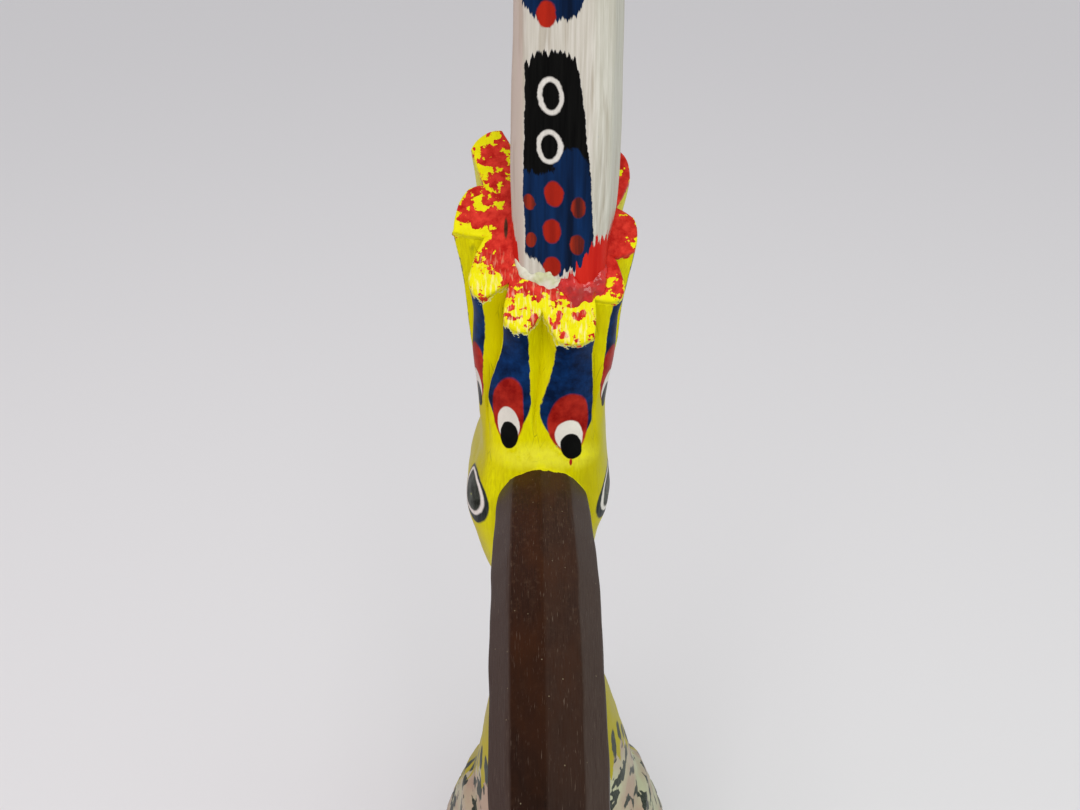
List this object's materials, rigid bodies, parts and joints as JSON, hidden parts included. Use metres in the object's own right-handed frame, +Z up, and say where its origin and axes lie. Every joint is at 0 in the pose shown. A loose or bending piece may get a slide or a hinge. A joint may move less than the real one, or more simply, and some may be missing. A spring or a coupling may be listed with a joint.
{
  "type": "papier-mache bird",
  "caption": "Standing papier-mache bird with a long neck, a long curved wooden bill, a fluted crest and a tall painted plume, on a low oval base.",
  "frame": {"origin": "middle of the base's underside", "axes": "+Z up, -Y the way the bird faces, +X to the bird's left, which is the picture's right"},
  "size_m": [0.15, 0.3257, 0.674],
  "materials": {
    "painted_papier_mache": "hand-painted enamel over papier-mache: yellow head, blue and red marks, speckled white body",
    "stained_wood": "knife-cut facets, dark brown stain, satin",
    "painted_wood": "brushed white paint with blue, black and red marks, satin",
    "base_wood": "dark brown stain, satin"
  },
  "bodies": {
    "root": {"body": "painted_papier_mache", "bill": "stained_wood", "plume": "painted_wood", "base": "base_wood"}
  },
  "joints": []
}
